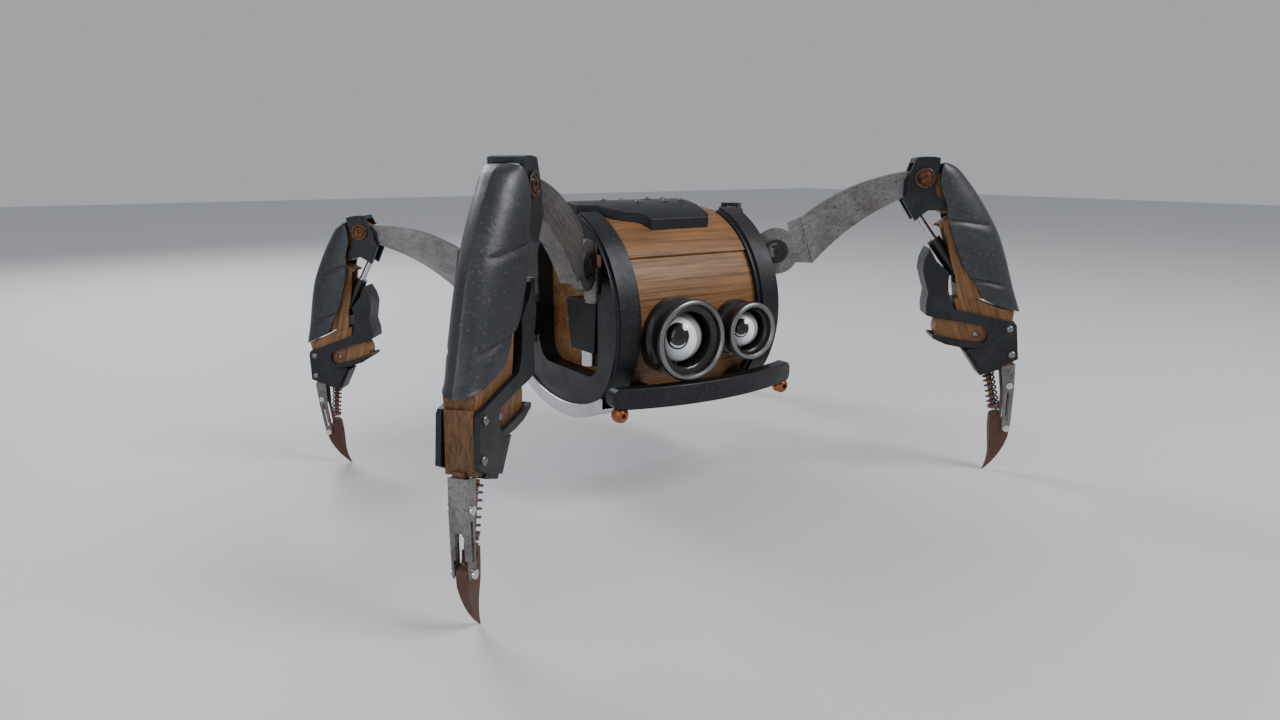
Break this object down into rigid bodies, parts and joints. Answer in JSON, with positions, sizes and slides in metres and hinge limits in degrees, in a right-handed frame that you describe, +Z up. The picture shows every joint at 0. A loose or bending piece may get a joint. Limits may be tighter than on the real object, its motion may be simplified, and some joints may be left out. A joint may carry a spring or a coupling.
{
  "type": "walking robot",
  "caption": "Walking robot with a wooden drum body, side caps, eye tubes with turning eyeballs, and arched clawed legs on powered hips and knees with telescoping struts.",
  "frame": {"origin": "on the floor, under the middle of the robot's overall box", "axes": "+X is the robot's left and its longest extent, -Y is the way its eyes face, +Z is up"},
  "size_m": [0.5476, 0.3908, 0.2829],
  "materials": {
    "oak": "satin",
    "dark_casting": "satin",
    "armor_casting": "satin",
    "grey_steel": "brushed",
    "polished_steel": "polished",
    "black_gloss": "gloss",
    "servo_case": "matte",
    "eye_white": "gloss",
    "bronze": "satin",
    "claw_bronze": "satin",
    "spring_steel": "satin",
    "circuit_board": "matte"
  },
  "bodies": {
    "chassis": {"barrel": "oak", "left_cap": "dark_casting", "right_cap": "dark_casting", "top_cover": "dark_casting", "belly_pan": "polished_steel", "bumper": "dark_casting", "eye_tubes": "black_gloss", "hip_servos": "servo_case", "electronics": "circuit_board", "body_fasteners": "bronze"},
    "large_eye": {"large_eyeball": "eye_white"},
    "small_eye": {"small_eyeball": "eye_white"},
    "front_left_coxa": {"front_left_hip_yoke": "grey_steel"},
    "front_left_thigh": {"front_left_femur": "grey_steel", "front_left_knee_hood": "dark_casting", "front_left_knee_pin": "bronze"},
    "front_left_shin": {"front_left_shin_core": "oak", "front_left_shin_armor": "armor_casting", "front_left_shin_bracket": "dark_casting", "front_left_ankle_channel": "grey_steel", "front_left_ankle_spring": "spring_steel"},
    "front_left_strut_case": {"front_left_strut_cylinder": "black_gloss"},
    "front_left_strut_ram": {"front_left_strut_rod": "polished_steel"},
    "front_left_toe": {"front_left_claw": "claw_bronze"},
    "front_right_coxa": {"front_right_hip_yoke": "grey_steel"},
    "front_right_thigh": {"front_right_femur": "grey_steel", "front_right_knee_hood": "dark_casting", "front_right_knee_pin": "bronze"},
    "front_right_shin": {"front_right_shin_core": "oak", "front_right_shin_armor": "armor_casting", "front_right_shin_bracket": "dark_casting", "front_right_ankle_channel": "grey_steel", "front_right_ankle_spring": "spring_steel"},
    "front_right_strut_case": {"front_right_strut_cylinder": "black_gloss"},
    "front_right_strut_ram": {"front_right_strut_rod": "polished_steel"},
    "front_right_toe": {"front_right_claw": "claw_bronze"},
    "rear_left_coxa": {"rear_left_hip_yoke": "grey_steel"},
    "rear_left_thigh": {"rear_left_femur": "grey_steel", "rear_left_knee_hood": "dark_casting", "rear_left_knee_pin": "bronze"},
    "rear_left_shin": {"rear_left_shin_core": "oak", "rear_left_shin_armor": "armor_casting", "rear_left_shin_bracket": "dark_casting", "rear_left_ankle_channel": "grey_steel", "rear_left_ankle_spring": "spring_steel"},
    "rear_left_strut_case": {"rear_left_strut_cylinder": "black_gloss"},
    "rear_left_strut_ram": {"rear_left_strut_rod": "polished_steel"},
    "rear_left_toe": {"rear_left_claw": "claw_bronze"},
    "rear_right_coxa": {"rear_right_hip_yoke": "grey_steel"},
    "rear_right_thigh": {"rear_right_femur": "grey_steel", "rear_right_knee_hood": "dark_casting", "rear_right_knee_pin": "bronze"},
    "rear_right_shin": {"rear_right_shin_core": "oak", "rear_right_shin_armor": "armor_casting", "rear_right_shin_bracket": "dark_casting", "rear_right_ankle_channel": "grey_steel", "rear_right_ankle_spring": "spring_steel"},
    "rear_right_strut_case": {"rear_right_strut_cylinder": "black_gloss"},
    "rear_right_strut_ram": {"rear_right_strut_rod": "polished_steel"},
    "rear_right_toe": {"rear_right_claw": "claw_bronze"}
  },
  "joints": [
    {"name": "large_eye_pan", "type": "hinge", "parent": "chassis", "child": "large_eye", "pos_m": [-0.026, -0.06766, 0.139], "axis": [0, 0, 1], "range_deg": [-20, 20]},
    {"name": "small_eye_pan", "type": "hinge", "parent": "chassis", "child": "small_eye", "pos_m": [0.037, -0.07314, 0.14], "axis": [0, 0, 1], "range_deg": [-20, 20]},
    {"name": "front_left_yaw", "type": "hinge", "parent": "chassis", "child": "front_left_coxa", "pos_m": [0.08284, -0.03204, 0.167], "axis": [0, 0, 1], "range_deg": [-8, 35]},
    {"name": "front_left_hip", "type": "hinge", "parent": "front_left_coxa", "child": "front_left_thigh", "pos_m": [0.1, -0.04644, 0.2], "axis": [-0.6428, -0.766, 0], "range_deg": [-20, 30]},
    {"name": "front_left_knee", "type": "hinge", "parent": "front_left_thigh", "child": "front_left_shin", "pos_m": [0.19499, -0.12615, 0.265], "axis": [-0.6428, -0.766, 0], "range_deg": [-18, 6]},
    {"name": "front_left_strut_swing", "type": "hinge", "parent": "front_left_shin", "child": "front_left_strut_case", "pos_m": [0.22027, -0.14736, 0.185], "axis": [-0.6428, -0.766, 0], "range_deg": [-9, 5]},
    {"name": "front_left_strut_slide", "type": "slide", "parent": "front_left_strut_case", "child": "front_left_strut_ram", "axis": [-0.4513, 0.3787, 0.808], "range_m": [-0.008, 0.004]},
    {"name": "front_left_claw", "type": "hinge", "parent": "front_left_shin", "child": "front_left_toe", "pos_m": [0.26286, -0.1831, 0.0418], "axis": [-0.6428, -0.766, 0], "range_deg": [-6, 6], "stiffness_Nm_per_rad": 30, "deforming": ["front_left_ankle_spring"]},
    {"name": "front_right_yaw", "type": "hinge", "parent": "chassis", "child": "front_right_coxa", "pos_m": [-0.08284, -0.03204, 0.167], "axis": [0, 0, -1], "range_deg": [-8, 35]},
    {"name": "front_right_hip", "type": "hinge", "parent": "front_right_coxa", "child": "front_right_thigh", "pos_m": [-0.1, -0.04644, 0.2], "axis": [-0.6428, 0.766, 0], "range_deg": [-20, 30]},
    {"name": "front_right_knee", "type": "hinge", "parent": "front_right_thigh", "child": "front_right_shin", "pos_m": [-0.19499, -0.12615, 0.265], "axis": [-0.6428, 0.766, 0], "range_deg": [-18, 6]},
    {"name": "front_right_strut_swing", "type": "hinge", "parent": "front_right_shin", "child": "front_right_strut_case", "pos_m": [-0.22027, -0.14736, 0.185], "axis": [-0.6428, 0.766, 0], "range_deg": [-9, 5]},
    {"name": "front_right_strut_slide", "type": "slide", "parent": "front_right_strut_case", "child": "front_right_strut_ram", "axis": [0.4513, 0.3787, 0.808], "range_m": [-0.008, 0.004]},
    {"name": "front_right_claw", "type": "hinge", "parent": "front_right_shin", "child": "front_right_toe", "pos_m": [-0.26286, -0.1831, 0.0418], "axis": [-0.6428, 0.766, 0], "range_deg": [-6, 6], "stiffness_Nm_per_rad": 30, "deforming": ["front_right_ankle_spring"]},
    {"name": "rear_left_yaw", "type": "hinge", "parent": "chassis", "child": "rear_left_coxa", "pos_m": [0.094, 0.06557, 0.158], "axis": [0, 0, 1], "range_deg": [-35, 6]},
    {"name": "rear_left_hip", "type": "hinge", "parent": "rear_left_coxa", "child": "rear_left_thigh", "pos_m": [0.1265, 0.09006, 0.18103], "axis": [0.6018, -0.7986, 0], "range_deg": [-20, 30]},
    {"name": "rear_left_knee", "type": "hinge", "parent": "rear_left_thigh", "child": "rear_left_shin", "pos_m": [0.21089, 0.15365, 0.21816], "axis": [0.6018, -0.7986, 0], "range_deg": [-18, 6]},
    {"name": "rear_left_strut_swing", "type": "hinge", "parent": "rear_left_shin", "child": "rear_left_strut_case", "pos_m": [0.22437, 0.16381, 0.15102], "axis": [0.6018, -0.7986, 0], "range_deg": [-9, 5]},
    {"name": "rear_left_strut_slide", "type": "slide", "parent": "rear_left_strut_case", "child": "rear_left_strut_ram", "axis": [-0.3725, -0.2807, 0.8846], "range_m": [-0.008, 0.004]},
    {"name": "rear_left_claw", "type": "hinge", "parent": "rear_left_shin", "child": "rear_left_toe", "pos_m": [0.24632, 0.18035, 0.03124], "axis": [0.6018, -0.7986, 0], "range_deg": [-6, 6], "stiffness_Nm_per_rad": 30, "deforming": ["rear_left_ankle_spring"]},
    {"name": "rear_right_yaw", "type": "hinge", "parent": "chassis", "child": "rear_right_coxa", "pos_m": [-0.094, 0.06557, 0.158], "axis": [0, 0, -1], "range_deg": [-35, 6]},
    {"name": "rear_right_hip", "type": "hinge", "parent": "rear_right_coxa", "child": "rear_right_thigh", "pos_m": [-0.1265, 0.09006, 0.18103], "axis": [0.6018, 0.7986, 0], "range_deg": [-20, 30]},
    {"name": "rear_right_knee", "type": "hinge", "parent": "rear_right_thigh", "child": "rear_right_shin", "pos_m": [-0.21089, 0.15365, 0.21816], "axis": [0.6018, 0.7986, 0], "range_deg": [-18, 6]},
    {"name": "rear_right_strut_swing", "type": "hinge", "parent": "rear_right_shin", "child": "rear_right_strut_case", "pos_m": [-0.22437, 0.16381, 0.15102], "axis": [0.6018, 0.7986, 0], "range_deg": [-9, 5]},
    {"name": "rear_right_strut_slide", "type": "slide", "parent": "rear_right_strut_case", "child": "rear_right_strut_ram", "axis": [0.3725, -0.2807, 0.8846], "range_m": [-0.008, 0.004]},
    {"name": "rear_right_claw", "type": "hinge", "parent": "rear_right_shin", "child": "rear_right_toe", "pos_m": [-0.24632, 0.18035, 0.03124], "axis": [0.6018, 0.7986, 0], "range_deg": [-6, 6], "stiffness_Nm_per_rad": 30, "deforming": ["rear_right_ankle_spring"]}
  ],
  "couplings": [
    {"joint": "small_eye_pan", "follows": "large_eye_pan", "ratio": 1},
    {"joint": "front_left_strut_swing", "follows": "front_left_knee", "ratio": 0.47988},
    {"joint": "front_left_strut_slide", "follows": "front_left_knee", "m_per_rad": 0.015982},
    {"joint": "front_right_strut_swing", "follows": "front_right_knee", "ratio": 0.47988},
    {"joint": "front_right_strut_slide", "follows": "front_right_knee", "m_per_rad": 0.015982},
    {"joint": "rear_left_strut_swing", "follows": "rear_left_knee", "ratio": 0.47988},
    {"joint": "rear_left_strut_slide", "follows": "rear_left_knee", "m_per_rad": 0.012786},
    {"joint": "rear_right_strut_swing", "follows": "rear_right_knee", "ratio": 0.47988},
    {"joint": "rear_right_strut_slide", "follows": "rear_right_knee", "m_per_rad": 0.012786}
  ]
}
